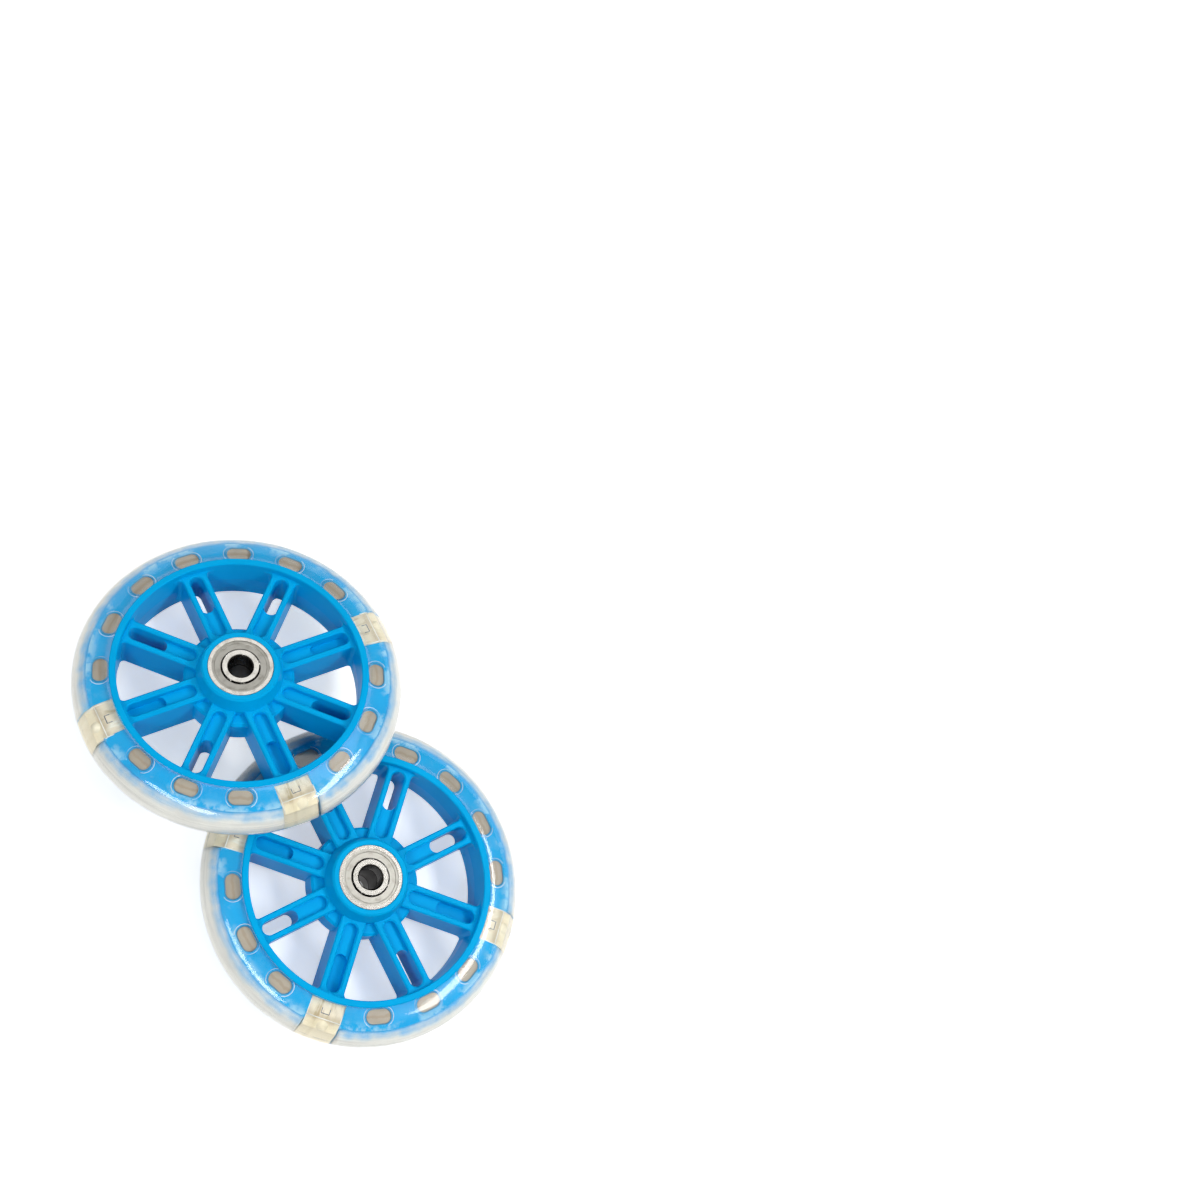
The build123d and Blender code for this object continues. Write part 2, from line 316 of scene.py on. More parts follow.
def turning_group():
    """Ground metal: fine rings round the axle, with a little soiling."""
    name = "turned metal"
    group = new_group(
        name,
        [("Local", "NodeSocketVector", (0, 0, 0)), ("Radius", "NodeSocketFloat", 0.0),
         ("Colour", "NodeSocketColor", (0.7, 0.7, 0.7, 1)), ("Soil", "NodeSocketColor", (0.2, 0.19, 0.17, 1)),
         ("Soiling", "NodeSocketFloat", 0.3), ("Gloss", "NodeSocketFloat", 0.25)],
        [("Colour", "NodeSocketColor"), ("Roughness", "NodeSocketFloat"), ("Rings", "NodeSocketFloat")])
    if group is None:
        return bpy.data.node_groups[name]
    n = Nodes(group)
    given = n.add("NodeGroupInput")
    out = n.add("NodeGroupOutput")
    line = n.add("ShaderNodeCombineXYZ")
    n.put(line.inputs[0], given.outputs["Radius"])
    rings = n.noise(line.outputs[0], 2400.0, 2.0)
    blot = n.noise(given.outputs["Local"], 420.0, 4.0, 0.6)
    soil = n.maths("MULTIPLY", n.ramp(blot, 0.45, 0.75), given.outputs["Soiling"])
    shade = n.maths("ADD", soil, n.maths("MULTIPLY", rings, 0.12))
    n.put(out.inputs["Colour"], n.mix(shade, given.outputs["Colour"], given.outputs["Soil"]))
    rough = n.maths("ADD", given.outputs["Gloss"], n.maths("MULTIPLY", blot, 0.18))
    n.put(out.inputs["Roughness"], rough)
    n.put(out.inputs["Rings"], rings)
    return group


def start_material(name, side):
    """A new material; returns it with its node helper, its Principled shader and the wheel's place."""
    material = bpy.data.materials.new(f"{side} {name}")
    material.use_nodes = True
    n = Nodes(material.node_tree)
    shader = next(x for x in material.node_tree.nodes if x.type == "BSDF_PRINCIPLED")
    place = n.add("ShaderNodeGroup", node_tree=wheel_place_group())
    matrix = WHEELS[side]
    n.put(place.inputs["Centre"], matrix.to_translation())
    n.put(place.inputs["Lean"], Vector(matrix.to_euler("XYZ")))
    return material, n, shader, place.outputs


def wandering(n, place, scale, detail, width):
    """A distance that wanders over the surface, about zero, for ragged edges."""
    return n.maths("MULTIPLY", n.maths("SUBTRACT", n.noise(place["Local"], scale, detail), 0.5), width)


def bump(n, shader, height, strength, distance):
    """Fine relief from a height that changes over the surface."""
    node = n.add("ShaderNodeBump")
    n.put(node.inputs["Strength"], strength)
    n.put(node.inputs["Distance"], distance)
    n.put(node.inputs["Height"], height)
    n.put(shader.inputs["Normal"], node.outputs["Normal"])


def moulded_skin(n, place, colour, deep, drift, gloss):
    """The moulded skin group, placed in a material with its own values."""
    skin = n.add("ShaderNodeGroup", node_tree=moulding_group())
    n.put(skin.inputs["Local"], place["Local"])
    n.put(skin.inputs["Colour"], colour)
    n.put(skin.inputs["Deep"], deep)
    n.put(skin.inputs["Drift"], drift)
    n.put(skin.inputs["Gloss"], gloss)
    return skin


def blue_plastic(side):
    """Blue core. Under the tyre, patches where the cast has come away show pale."""
    material, n, shader, place = start_material("blue plastic", side)
    skin = moulded_skin(n, place, tuple(colours().blue), tuple(colours().blue_deep), 0.3, 0.34)
    rim = sizes().rim_radius
    under = n.ramp(place["Radius"], rim, rim + 0.4 * MM)
    outer = n.ramp(place["Radius"], rim + 3.5 * MM, rim + 7.2 * MM)
    patches = n.ramp(n.noise(place["Local"], 130.0, 5.0, 0.62), 0.48, 0.60)
    share = n.maths("ADD", n.maths("MULTIPLY", outer, 0.65), 0.05)
    lift = n.maths("MULTIPLY", under, n.maths("MULTIPLY", patches, share))
    pale_blue = (0.46, 0.74, 0.86)
    n.put(shader.inputs["Base Color"], n.mix(lift, skin.outputs["Colour"], pale_blue))
    shader.inputs["Specular IOR Level"].default_value = 0.05
    shader.inputs["IOR"].default_value = 1.35
    n.put(shader.inputs["Roughness"], skin.outputs["Roughness"])
    bump(n, shader, skin.outputs["Skin"], 0.06, 0.4 * MM)
    return material


def clear_polyurethane(side):
    """Clear cast tyre that lets light through to the core inside it."""
    material, n, shader, place = start_material("clear polyurethane", side)
    haze = n.noise(place["Local"], 160.0, 4.0, 0.6)
    tint = tuple(colours().clear)
    cloudy = tuple(c * 0.93 for c in tint)
    n.put(shader.inputs["Base Color"], n.mix(n.ramp(haze, 0.4, 0.8), tint, cloudy))
    n.put(shader.inputs["Roughness"], n.maths("ADD", n.maths("MULTIPLY", haze, 0.10), 0.05))
    shader.inputs["Transmission Weight"].default_value = 1.0
    shader.inputs["IOR"].default_value = 1.45
    shader.inputs["Coat Weight"].default_value = 0.55
    shader.inputs["Coat Roughness"].default_value = 0.25
    bump(n, shader, n.noise(place["Local"], 70.0, 2.0), 0.05, 1.5 * MM)
    veil = n.add("ShaderNodeBsdfTransparent")
    veil.inputs["Color"].default_value = (0.9, 0.9, 0.88, 1)
    path = n.add("ShaderNodeLightPath")
    mixed = n.add("ShaderNodeMixShader")
    n.put(mixed.inputs[0], path.outputs["Is Shadow Ray"])
    n.put(mixed.inputs[1], shader.outputs[0])
    n.put(mixed.inputs[2], veil.outputs[0])
    out = next(x for x in material.node_tree.nodes if x.type == "OUTPUT_MATERIAL")
    n.put(out.inputs["Surface"], mixed.outputs[0])
    return material


def cloudy_polyurethane(side):
    """Cloudy cast under the tread, streaked along it, with the core's blue showing nearer the flanges."""
    material, n, shader, place = start_material("cloudy polyurethane", side)
    line = n.add("ShaderNodeCombineXYZ")
    n.put(line.inputs[0], place["Radius"])
    n.put(line.inputs[1], n.maths("MULTIPLY", place["Turn"], 2.0 * MM))
    n.put(line.inputs[2], place["Height"])
    streaks = n.noise(line.outputs[0], 700.0, 4.0, 0.6)
    pale = tuple(colours().haze)
    cloud = n.mix(n.ramp(streaks, 0.35, 0.7), pale, tuple(0.8 * c for c in pale))
    rim = sizes().rim_radius
    wander = wandering(n, place, 220.0, 5.0, 2.6 * MM)
    shoulder = n.ramp(n.maths("ABSOLUTE", place["Height"]), 4.4 * MM, 5.5 * MM)
    reach = n.maths("ADD", n.maths("ADD", place["Radius"], wander), n.maths("MULTIPLY", shoulder, 0.8 * MM))
    inner = n.ramp(reach, rim + 7.5 * MM, rim + 10.2 * MM)
    n.put(shader.inputs["Base Color"], n.mix(inner, tuple(colours().blue), cloud))
    n.put(shader.inputs["Roughness"], n.maths("ADD", n.maths("MULTIPLY", streaks, 0.3), 0.3))
    shader.inputs["Alpha"].default_value = 0.95
    return material


def tan_filling(side):
    """Cast in the flange windows, with a darker streak along each window."""
    material, n, shader, place = start_material("tan filling", side)
    tan = tuple(colours().tan)
    skin = moulded_skin(n, place, tan, tuple(0.82 * c for c in tan), 0.7, 0.4)
    wander = wandering(n, place, 420.0, 3.0, 1.6 * MM)
    middle = sizes().rim_radius + sizes().window_offset
    off = n.maths("SUBTRACT", n.maths("ADD", place["Radius"], wander), middle)
    streak = n.maths("SUBTRACT", 1.0, n.ramp(n.maths("ABSOLUTE", off), 0.15 * MM, 0.65 * MM))
    brown = (0.36, 0.27, 0.18)
    n.put(shader.inputs["Base Color"], n.mix(n.maths("MULTIPLY", streak, 0.6), skin.outputs["Colour"], brown))
    n.put(shader.inputs["Roughness"], skin.outputs["Roughness"])
    return material


def cream_resin(side):
    """Cream lamp case, with painted shade in brown across its shoulder, paler at its outer end and streaked
    from end to end.
    """
    material, n, shader, place = start_material("cream resin", side)
    cream = tuple(colours().cream)
    skin = moulded_skin(n, place, cream, tuple(0.8 * c for c in cream), 0.6, 0.2)
    rim = sizes().rim_radius
    wander = wandering(n, place, 300.0, 3.0, 2.5 * MM)
    reach = n.maths("ADD", place["Radius"], wander)
    # Painted shade: a brown band peaks at the bevel's edge across the shoulder, for the shading along that
    # edge.
    rise = n.ramp(reach, rim + 3.2 * MM, rim + 5.4 * MM)
    fall = n.ramp(reach, rim + 5.4 * MM, rim + 7.0 * MM)
    shoulder = n.maths("MULTIPLY", rise, n.maths("SUBTRACT", 1.0, fall))
    line = n.add("ShaderNodeCombineXYZ")
    n.put(line.inputs[0], n.maths("MULTIPLY", place["Radius"], 0.25))
    n.put(line.inputs[1], n.maths("MULTIPLY", place["Turn"], rim))
    streaks = n.noise(line.outputs[0], 380.0, 4.0, 0.6)
    amber, ivory = (0.50, 0.38, 0.20), (0.97, 0.94, 0.82)
    brown, straw = (0.46, 0.35, 0.20), (0.90, 0.82, 0.58)
    streaked = n.mix(n.ramp(streaks, 0.50, 0.72), skin.outputs["Colour"], amber)
    lit = n.mix(n.ramp(streaks, 0.46, 0.30), streaked, ivory)
    shoulder_shaded = n.mix(n.maths("MULTIPLY", shoulder, 0.55), lit, brown)
    n.put(shader.inputs["Base Color"], n.mix(n.maths("MULTIPLY", fall, 0.6), shoulder_shaded, straw))
    n.put(shader.inputs["Roughness"], skin.outputs["Roughness"])
    shader.inputs["Alpha"].default_value = 0.93
    bump(n, shader, skin.outputs["Skin"], 0.15, 0.5 * MM)
    return material


def plain_plastic(name, side, colour, deep, gloss, drift=0.4):
    """Moulded plastic that drifts between two tones."""
    material, n, shader, place = start_material(name, side)
    skin = moulded_skin(n, place, colour, deep, drift, gloss)
    n.put(shader.inputs["Base Color"], skin.outputs["Colour"])
    n.put(shader.inputs["Roughness"], skin.outputs["Roughness"])
    bump(n, shader, skin.outputs["Skin"], 0.08, 0.4 * MM)
    return material


def metal(name, side, colour, soil, soiling, gloss, shaded_bore=False):
    """Turned metal, which may have painted shade darkening the inside of its bore."""
    material, n, shader, place = start_material(name, side)
    turned = n.add("ShaderNodeGroup", node_tree=turning_group())
    n.put(turned.inputs["Local"], place["Local"])
    n.put(turned.inputs["Radius"], place["Radius"])
    n.put(turned.inputs["Colour"], colour)
    n.put(turned.inputs["Soil"], soil)
    n.put(turned.inputs["Soiling"], soiling)
    n.put(turned.inputs["Gloss"], gloss)
    colour = turned.outputs["Colour"]
    if shaded_bore:
        # Painted shade: inside the bore the colour goes near black, for the shadow that lies there.
        bore = sizes().bore_radius
        outside = n.ramp(place["Radius"], bore + 0.3 * MM, bore + 0.5 * MM)
        bore_shade = (0.02, 0.018, 0.016)
        colour = n.mix(outside, bore_shade, colour)
    n.put(shader.inputs["Base Color"], colour)
    n.put(shader.inputs["Roughness"], turned.outputs["Roughness"])
    shader.inputs["Metallic"].default_value = 1.0
    bump(n, shader, turned.outputs["Rings"], 0.02, 0.1 * MM)
    return material


def dress(node, material):
    """Gives a CAD node its material."""
    obj = frame["nodes"][node]
    obj.data.materials.clear()
    obj.data.materials.append(material)


def mesh_piece(name, points, faces, side, material, slot):
    """A mesh in a wheel's own axes, set in the row frame and carried by the wheels."""
    matrix = WHEELS[side]
    mesh = bpy.data.meshes.new(name)
    mesh.from_pydata([matrix @ Vector(p) for p in points], [], faces)
    mesh.polygons.foreach_set("use_smooth", [True] * len(mesh.polygons))
    mesh.update()
    obj = bpy.data.objects.new(name, mesh)
    bpy.context.scene.collection.objects.link(obj)
    obj.data.materials.append(material)
    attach(obj, "wheels")
    return obj


def loop_faces(loops, count, endless):
    """Faces from loop to loop of points: back to the first if endless, or else with both ends capped."""
    faces = []
    for i in range(loops if endless else loops - 1):
        j = (i + 1) % loops
        for k in range(count):
            m = (k + 1) % count
            faces.append((i * count + k, j * count + k, j * count + m, i * count + m))
    if not endless:
        faces.append(tuple(range(count)))
        faces.append(tuple((loops - 1) * count + k for k in reversed(range(count))))
    return faces


def turned_profile(profile, a):
    """A (radius, height) profile as points at an angle round the axle."""
    return [(r * math.cos(a), r * math.sin(a), z) for r, z in profile]


def lathe(profile, turns):
    """Points and faces of a closed ring from a closed (radius, height) profile."""
    points = []
    for i in range(turns):
        points += turned_profile(profile, 2 * math.pi * i / turns)
    return points, loop_faces(turns, len(profile), True)


def sector(profile, start, end, turns):
    """Points and faces of a part ring between two angles, closed at its ends."""
    points = []
    for i in range(turns + 1):
        points += turned_profile(profile, start + (end - start) * i / turns)
    return points, loop_faces(turns + 1, len(profile), False)


def tyre_profile():
    """Half ellipse from rim edge to rim edge, with two fine seams beside the tread's middle."""
    s = sizes()
    depth = s.tread_radius - s.rim_radius
    steps = 40
    seam = math.asin(s.seam_height / s.tyre_half_width)
    seam_half_angle = 0.012
    angles = [math.pi * (k / steps - 0.5) for k in range(steps + 1)]
    angles += [side * seam + off for side in (1, -1) for off in (-seam_half_angle, 0.0, seam_half_angle)]
    profile = []
    for a in sorted(angles):
        cut = s.seam_depth if abs(abs(a) - seam) < 1e-9 else 0.0
        radius = s.rim_radius + (depth - cut) * math.cos(a)
        profile.append((radius, s.tyre_half_width * math.sin(a)))
    inner = s.rim_radius - 0.8 * MM
    edge = s.tyre_half_width - 0.1 * MM
    return profile + [(inner, edge), (inner, -edge)]


def haze_profile():
    """Cross-section of the cloudy cast: a strip under the tread, outside the flanges."""
    s = sizes()
    skin = 1.2 * MM
    half = 5.6 * MM
    inner = s.rim_radius + 6.4 * MM
    depth = s.tread_radius - s.rim_radius - skin
    width = s.tyre_half_width - skin
    reach = math.asin(half / width)
    steps = 16
    angles = [reach * (2 * k / steps - 1) for k in range(steps + 1)]
    outer = [(s.rim_radius + depth * math.cos(a), width * math.sin(a)) for a in angles]
    return [(inner, half), (inner, -half)] + outer


def stadium(length, width, steps):
    """Points round a slot that lies along Y, about the origin."""
    r = width / 2
    half = length / 2 - r
    points = []
    for k in range(steps):
        a = math.pi * k / (steps - 1)
        points.append((r * math.cos(a), half + r * math.sin(a)))
    for k in range(steps):
        a = math.pi + math.pi * k / (steps - 1)
        points.append((r * math.cos(a), -half + r * math.sin(a)))
    return points


def loop_round(middle, ahead, beside, radius):
    """Points of a tube round its middle, square to the way ahead."""
    across = ahead.cross(beside).normalized()
    rise = across.cross(ahead)
    angles = [2 * math.pi * k / TUBE_SIDES for k in range(TUBE_SIDES)]
    return [middle + across * (radius * math.cos(a)) + rise * (radius * math.sin(a)) for a in angles]


def tube_round(path, radius):
    """A closed tube of that radius along a closed path."""
    path = [Vector(p) for p in path]
    count = len(path)
    points = []
    for i in range(count):
        ahead = (path[(i + 1) % count] - path[i - 1]).normalized()
        points += loop_round(path[i], ahead, Vector((0, 0, 1)), radius)
    return points, loop_faces(count, TUBE_SIDES, True)


def rod(path, radius):
    """A tube along an open path, closed at both ends."""
    path = [Vector(p) for p in path]
    count = len(path)
    points = []
    for i in range(count):
        ahead = (path[min(i + 1, count - 1)] - path[max(i - 1, 0)]).normalized()
        beside = Vector((0, 0, 1)) if abs(ahead.z) < 0.8 else Vector((1, 0, 0))
        points += loop_round(path[i], ahead, beside, radius)
    return points, loop_faces(count, TUBE_SIDES, False)


def ball(centre, radius, turns, rings):
    """A sphere from rings of points about its centre."""
    middle = Vector(centre)
    points = [middle + Vector((0, 0, radius))]
    for i in range(1, rings):
        b = math.pi * i / rings
        for k in range(turns):
            a = 2 * math.pi * k / turns
            ahead = Vector((math.sin(b) * math.cos(a), math.sin(b) * math.sin(a), math.cos(b)))
            points.append(middle + radius * ahead)
    points.append(middle - Vector((0, 0, radius)))
    last = len(points) - 1
    faces = [(0, 1 + k, 1 + (k + 1) % turns) for k in range(turns)]
    for i in range(rings - 2):
        for k in range(turns):
            m = (k + 1) % turns
            near, far = 1 + i * turns, 1 + (i + 1) * turns
            faces.append((near + k, far + k, far + m, near + m))
    foot = 1 + (rings - 2) * turns
    faces += [(foot + k, last, foot + (k + 1) % turns) for k in range(turns)]
    return points, faces


def turned_mesh(mesh, matrix):
    """A mesh turned or mirrored by a matrix, with its faces kept outward."""
    points, faces = mesh
    if matrix.determinant() < 0:
        faces = [tuple(reversed(f)) for f in faces]
    return [matrix @ Vector(p) for p in points], faces


def window_path(station, face, grown, sunk):
    """Points round a flange window, on the flange's sloping face or a little under it."""
    s = sizes()
    turn = 2 * math.pi * station / STATIONS
    path = []
    for x, y in stadium(s.window_length + grown, s.window_width + grown, 9):
        out = s.window_offset + x
        r = s.rim_radius + out
        z = (s.flange_height - out * s.flange_slope - sunk) * face
        path.append((r * math.cos(turn) - y * math.sin(turn), r * math.sin(turn) + y * math.cos(turn), z))
    return path


def window_plug(station, face):
    """The cast that fills one flange window."""
    top_sunk, bottom_sunk = 0.5 * MM, 2.2 * MM
    top = window_path(station, face, WINDOW_LAP, top_sunk)
    bottom = window_path(station, face, WINDOW_LAP, bottom_sunk)
    count = len(top)
    faces = [tuple(range(count)), tuple(count + k for k in reversed(range(count)))]
    faces += [(k, count + k, count + (k + 1) % count, (k + 1) % count) for k in range(count)]
    if face < 0:
        faces = [tuple(reversed(f)) for f in faces]
    return top + bottom, faces


def joined(meshes):
    """One mesh from several."""
    points, faces = [], []
    for some_points, some_faces in meshes:
        start = len(points)
        points += some_points
        faces += [tuple(start + v for v in face) for face in some_faces]
    return points, faces


def window_trim():
    """The fillings of a wheel's flange windows, the lip round each window in painted shade and the ridges
    past its ends in painted highlight, each as one mesh.
    """
    s = sizes()
    plugs, lip_shades, ridges = [], [], []
    for station in range(STATIONS):
        if station in LAMP_STATIONS:
            continue
        for face in (1, -1):
            plugs.append(window_plug(station, face))
            lip_shades.append(tube_round(window_path(station, face, WINDOW_LAP, 0.0), s.lip_radius))
            ridge = window_path(station, face, RIDGE_LAP, 0.0)
            half = len(ridge) // 2
            ridges += [rod(ridge[k + 1:k + half - 1], s.ridge_radius) for k in (0, half)]
    return joined(plugs), joined(lip_shades), joined(ridges)


def haze_strips():
    """The cloudy cast as one mesh: a strip from each lamp to the next."""
    lamp_half_angle = math.radians(7.2)
    steps = 48
    stops = [2 * math.pi * station / STATIONS for station in LAMP_STATIONS] + [2 * math.pi]
    spans = [(first + lamp_half_angle, last - lamp_half_angle) for first, last in zip(stops, stops[1:])]
    return joined([sector(haze_profile(), first, last, steps) for first, last in spans])


class WHEELS_OT_cores(bpy.types.Operator):
    """Blue moulded cores"""

    bl_idname = "wheels.cores"
    bl_label = "Cores"

    def execute(self, context):
        for side in SIDES:
            dress(f"{side}_core", blue_plastic(side))
        return {"FINISHED"}


class WHEELS_OT_tyres(bpy.types.Operator):
    """Clear cast tyres with their cloudy cast, and the filling of the flange windows, the lip round each
    window in painted shade and the ridges past its ends in painted highlight
    """

    bl_idname = "wheels.tyres"
    bl_label = "Tyres"

    def execute(self, context):
        clear, blue = "clear_polyurethane", "blue_plastic"
        ring = lathe(tyre_profile(), sizes().turns)
        haze = haze_strips()
        plugs, lip_shades, ridges = window_trim()
        for side in SIDES:
            tyre = mesh_piece(f"{side}_clear_tyre", *ring, side, clear_polyurethane(side), clear)
            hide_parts(f"{side}_tyre")
            mesh_piece(f"{side}_tread_haze", *haze, side, cloudy_polyurethane(side), clear)
            plug = mesh_piece(f"{side}_window_filling", *plugs, side, tan_filling(side), clear)
            plug.data.polygons.foreach_set("use_smooth", [False] * len(plug.data.polygons))
            # Painted shade: the lip round each window takes a darker copy of the core's blue, for the shadow
            # along the window's wall.
            material = plain_plastic("window lip shade", side, (0.01, 0.22, 0.42), (0.04, 0.34, 0.62), 0.3, 0.8)
            mesh_piece(f"{side}_window_lip_shades", *lip_shades, side, material, blue)
            # The ridges past each window's ends are drawn as thin rods; their pale colour, a lighter copy of
            # the core's blue, is a painted highlight.
            material = plain_plastic("window ridge highlight", side, (0.70, 0.82, 0.88), (0.02, 0.42, 0.80), 0.25, 1.0)
            mesh_piece(f"{side}_window_ridge_highlights", *ridges, side, material, blue)
        return {"FINISHED"}


def on_case(out, across, height):
    """A point on a lamp case, from the rim band outwards, in millimetres."""
    return Vector((sizes().rim_radius + out * MM, across * MM, height * MM))


def case_edge_paths():
    """The two bevelled side edges of a lamp case and the edge across its shoulder."""
    half, face = 5.85, 6.45
    sides = [
        [on_case(1.0, across, face), on_case(5.5, across, face), on_case(8.3, across, 3.6)]
        for across in (-half, half)]
    return sides + [[on_case(5.6, -half, face), on_case(5.6, half, face)]]


def light_frame_path():
    """The open square of wire that shows in a lamp case's face."""
    near, far, half, face = 2.2, 3.9, 1.4, 6.55
    return [on_case(near, -half, face), on_case(far, -half, face), on_case(far, half, face),
            on_case(near, half, face)]


def light_dome():
    """The round lens under a lamp case's bevel."""
    return ball(on_case(6.4, 0.6, 3.7), 2.3 * MM, 20, 12)


class WHEELS_OT_lamps(bpy.types.Operator):
    """Cream lamp cases with their lights and boards"""

    bl_idname = "wheels.lamps"
    bl_label = "Lamps"

    def execute(self, context):
        edge_highlight_radius, wire_radius = 0.18 * MM, 0.14 * MM
        for side in SIDES:
            case = cream_resin(side)
            lens = plain_plastic("light lens", side, (0.88, 0.82, 0.64), (0.70, 0.60, 0.40), 0.1, 0.6)
            board = plain_plastic("circuit board", side, (0.62, 0.58, 0.46), (0.2, 0.22, 0.24), 0.4, 0.9)
            lead = plain_plastic("lead sleeve", side, (0.45, 0.03, 0.02), (0.3, 0.02, 0.02), 0.5)
            for number in (1, 2, 3):
                dress(f"{side}_lamp_case_{number}", case)
                dress(f"{side}_lamp_led_{number}", lens)
                dress(f"{side}_lamp_board_{number}", board)
                dress(f"{side}_lamp_lead_{number}", lead)
            edges, marks, domes = [], [], []
            for station in LAMP_STATIONS:
                turn = Matrix.Rotation(2 * math.pi * station / STATIONS, 3, "Z")
                for face in (1, -1):
                    place = turn @ Matrix.Diagonal((1, face, face))
                    edges += [turned_mesh(rod(path, edge_highlight_radius), place) for path in case_edge_paths()]
                    marks.append(turned_mesh(rod(light_frame_path(), wire_radius), place))
                    domes.append(turned_mesh(light_dome(), place))
            # Painted highlights: pale rods along the case's bevelled side edges and across its shoulder, for
            # the lines of light on those edges.
            pale = plain_plastic("case edge highlight", side, (0.95, 0.95, 0.90), (0.75, 0.70, 0.55), 0.15, 0.7)
            dark = plain_plastic("light lead frame", side, (0.06, 0.10, 0.17), (0.12, 0.15, 0.18), 0.3, 0.6)
            mesh_piece(f"{side}_case_edge_highlights", *joined(edges), side, pale, "cream_resin")
            mesh_piece(f"{side}_light_frames", *joined(marks), side, dark, "led_lens")
            mesh_piece(f"{side}_light_domes", *joined(domes), side, lens, "led_lens")
        return {"FINISHED"}


class WHEELS_OT_bearings(bpy.types.Operator):
    """Ball bearings in each end of the hubs"""

    bl_idname = "wheels.bearings"
    bl_label = "Bearings"

    def execute(self, context):
        steel = tuple(colours().steel)
        soil = (0.16, 0.145, 0.12)
        for side in SIDES:
            # The rings' bores carry painted shade.
            ring = metal("bearing steel", side, steel, soil, 0.4, 0.16, shaded_bore=True)
            shield = metal("shield steel", side, (0.38, 0.37, 0.335), soil, 0.45, 0.3)
            polished = metal("ball steel", side, (0.75, 0.75, 0.76), soil, 0.1, 0.06)
            cage = metal("cage steel", side, (0.5, 0.48, 0.45), soil, 0.3, 0.3)
            for end in ("front", "rear"):
                dress(f"{side}_{end}_outer_ring", ring)
                dress(f"{side}_{end}_inner_ring", ring)
                dress(f"{side}_{end}_outer_shield", shield)
                dress(f"{side}_{end}_inner_shield", shield)
                dress(f"{side}_{end}_balls", polished)
                dress(f"{side}_{end}_cage", cage)
        return {"FINISHED"}


class WHEELS_OT_generators(bpy.types.Operator):
    """Spacer, magnet and coil between the bearings"""

    bl_idname = "wheels.generators"
    bl_label = "Generators"

    def execute(self, context):
        for side in SIDES:
            grey, black = (0.2, 0.2, 0.2), (0.02, 0.02, 0.02)
            # The spacer's bore carries painted shade.
            spacer = metal("spacer alloy", side, (0.55, 0.55, 0.56), grey, 0.4, 0.35, shaded_bore=True)
            magnet = metal("magnet ferrite", side, (0.05, 0.05, 0.055), black, 0.5, 0.5)
            bobbin = plain_plastic("bobbin plastic", side, (0.03, 0.03, 0.03), black, 0.5)
            winding = metal("copper wire", side, (0.7, 0.32, 0.16), (0.4, 0.15, 0.07), 0.4, 0.3)
            dress(f"{side}_spacer", spacer)
            dress(f"{side}_magnet", magnet)
            dress(f"{side}_coil_bobbin", bobbin)
            dress(f"{side}_coil_winding", winding)
        return {"FINISHED"}


def softbox(name, place, target, along, width, height, power):
    """A rectangular light that faces the target, with its width along the given direction."""
    data = bpy.data.lights.new(name, "AREA")
    data.shape = "RECTANGLE"
    data.size = width
    data.size_y = height
    data.energy = power
    obj = bpy.data.objects.new(name, data)
    bpy.context.scene.collection.objects.link(obj)
    back = (Vector(place) - Vector(target)).normalized()
    wide = (Vector(along) - back * Vector(along).dot(back)).normalized()
    facing = Matrix((wide, back.cross(wide), back)).transposed().to_4x4()
    obj.matrix_world = Matrix.Translation(place) @ facing


def studio_surface(name, points, faces, lift):
    """A pale surface of the stage, lifted towards white where it is looked at."""
    mesh = bpy.data.meshes.new(name)
    mesh.from_pydata(points, [], faces)
    obj = bpy.data.objects.new(name, mesh)
    bpy.context.scene.collection.objects.link(obj)
    material = bpy.data.materials.new(f"pale {name}")
    material.use_nodes = True
    n = Nodes(material.node_tree)
    shader = next(x for x in material.node_tree.nodes if x.type == "BSDF_PRINCIPLED")
    spot = n.add("ShaderNodeTexCoord").outputs["Object"]
    pale = tuple(colours().floor)
    n.put(shader.inputs["Base Color"], n.mix(n.noise(spot, 3.0), pale, tuple(0.985 * c for c in pale)))
    path = n.add("ShaderNodeLightPath").outputs
    indirect = n.maths("MAXIMUM", path["Is Glossy Ray"], path["Is Transmission Ray"])
    seen = n.maths("MAXIMUM", path["Is Camera Ray"], indirect)
    shader.inputs["Emission Color"].default_value = (1, 1, 1, 1)
    n.put(shader.inputs["Emission Strength"], n.maths("MULTIPLY", seen, lift))
    shader.inputs["Roughness"].default_value = 0.8
    shader.inputs["Specular IOR Level"].default_value = 0.1
    mesh.materials.append(material)


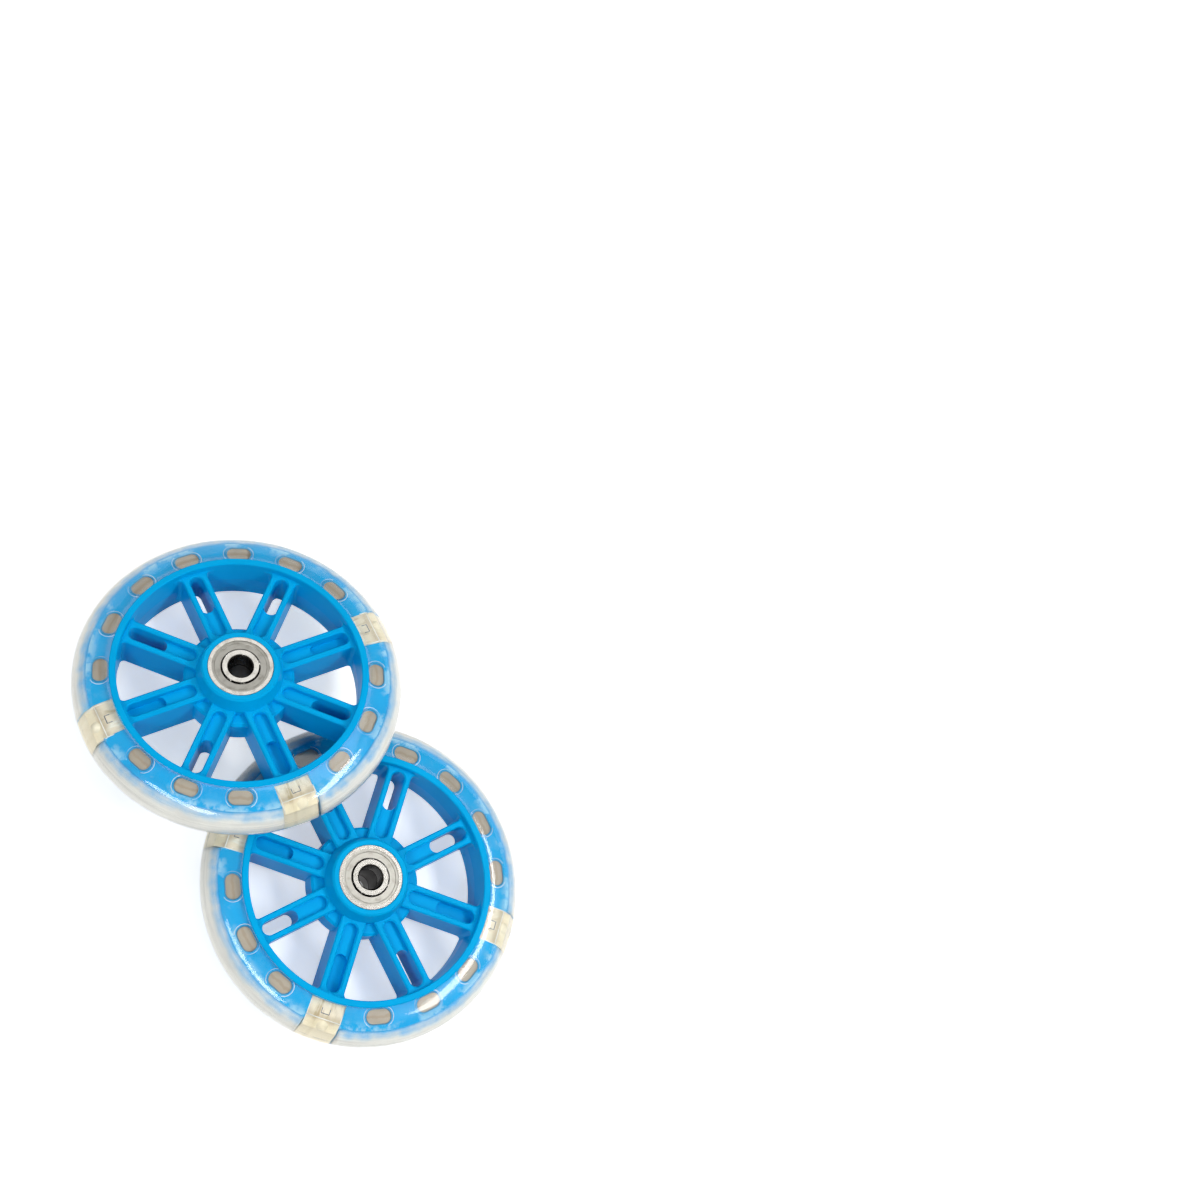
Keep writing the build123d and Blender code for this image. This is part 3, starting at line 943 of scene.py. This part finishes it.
class WHEELS_OT_stage(bpy.types.Operator):
    """Floor, light and camera"""

    bl_idname = "wheels.stage"
    bl_label = "Stage"

    def execute(self, context):
        st = stage_settings()
        scene = context.scene
        scene.view_settings.view_transform = "Standard"
        floor_gap = 0.2 * MM
        level = CAD_BOX[0][2] - floor_gap
        steps = 96
        angles = [2 * math.pi * k / steps for k in range(steps)]
        foot = [(st.room * math.cos(a), st.room * math.sin(a), level) for a in angles]
        head = [(x, y, level + 0.5 * st.room) for x, y, _ in foot]
        walls = [((k + 1) % steps, k, steps + k, steps + (k + 1) % steps) for k in range(steps)]
        studio_surface("floor", foot, [tuple(range(steps))], st.floor_lift)
        studio_surface("backdrop", foot + head, walls, st.backdrop_lift)
        world = bpy.data.worlds.new("studio")
        scene.world = world
        world.use_nodes = True
        ground = next(x for x in world.node_tree.nodes if x.type == "BACKGROUND")
        ground.inputs["Color"].default_value = (1, 1, 1, 1)
        ground.inputs["Strength"].default_value = st.world
        aim = (0.0, 0.0, 0.02)
        softbox("left softbox", (0.08, -0.74, 0.83), aim, (1, 0, 0), 0.75, 0.17, st.left)
        softbox("right softbox", (0.39, 0.39, 0.94), aim, (0.58, -0.33, -0.09), 0.70, 0.17, st.right)
        softbox("rear softbox", (-0.42, 0.36, 0.93), aim, (1, 0, 0), 1.0, 0.30, st.rear)
        data = bpy.data.cameras.new("camera")
        data.lens = st.lens
        data.sensor_width = 36.0
        data.clip_start = 0.01
        data.clip_end = 60.0
        camera = bpy.data.objects.new("camera", data)
        scene.collection.objects.link(camera)
        # The camera's own axes and place, as fitted to the photograph
        right = Vector((0.555925, 0.75181, 0.354583))
        up = Vector((-0.83038, 0.482976, 0.277857))
        back = Vector((0.03764, -0.448906, 0.892786))
        stand = Vector((34.311, -257.228, 792.109)) * MM
        turn = Matrix((right, up, back)).transposed().to_4x4()
        camera.matrix_world = Matrix.Translation(stand) @ turn
        scene.camera = camera
        return {"FINISHED"}


class WHEELS_PT_panel(bpy.types.Panel):
    """Sizes, colours and steps of the wheels"""

    bl_idname = "WHEELS_PT_panel"
    bl_label = "Training wheels"
    bl_space_type = "VIEW_3D"
    bl_region_type = "UI"
    bl_category = "Wheels"

    def draw(self, context):
        for group in (sizes(), colours(), stage_settings()):
            box = self.layout.box()
            for name in group.__annotations__:
                box.prop(group, name)
        for step in STEPS:
            self.layout.operator(step.bl_idname)


STEPS = (
    WHEELS_OT_cores, WHEELS_OT_tyres, WHEELS_OT_lamps, WHEELS_OT_bearings, WHEELS_OT_generators,
    WHEELS_OT_stage)
CLASSES = (WheelSizes, WheelColours, StageSettings, *STEPS, WHEELS_PT_panel)


def register():
    for cls in CLASSES:
        bpy.utils.register_class(cls)
    bpy.types.Scene.wheel_sizes = PointerProperty(type=WheelSizes)
    bpy.types.Scene.wheel_colours = PointerProperty(type=WheelColours)
    bpy.types.Scene.wheel_stage = PointerProperty(type=StageSettings)


def unregister():
    del bpy.types.Scene.wheel_stage
    del bpy.types.Scene.wheel_colours
    del bpy.types.Scene.wheel_sizes
    for cls in reversed(CLASSES):
        bpy.utils.unregister_class(cls)


def main():
    register()
    bpy.ops.wheels.cores()
    bpy.ops.wheels.tyres()
    bpy.ops.wheels.lamps()
    bpy.ops.wheels.bearings()
    bpy.ops.wheels.generators()
    bpy.ops.wheels.stage()


if __name__ == "__main__":
    main()
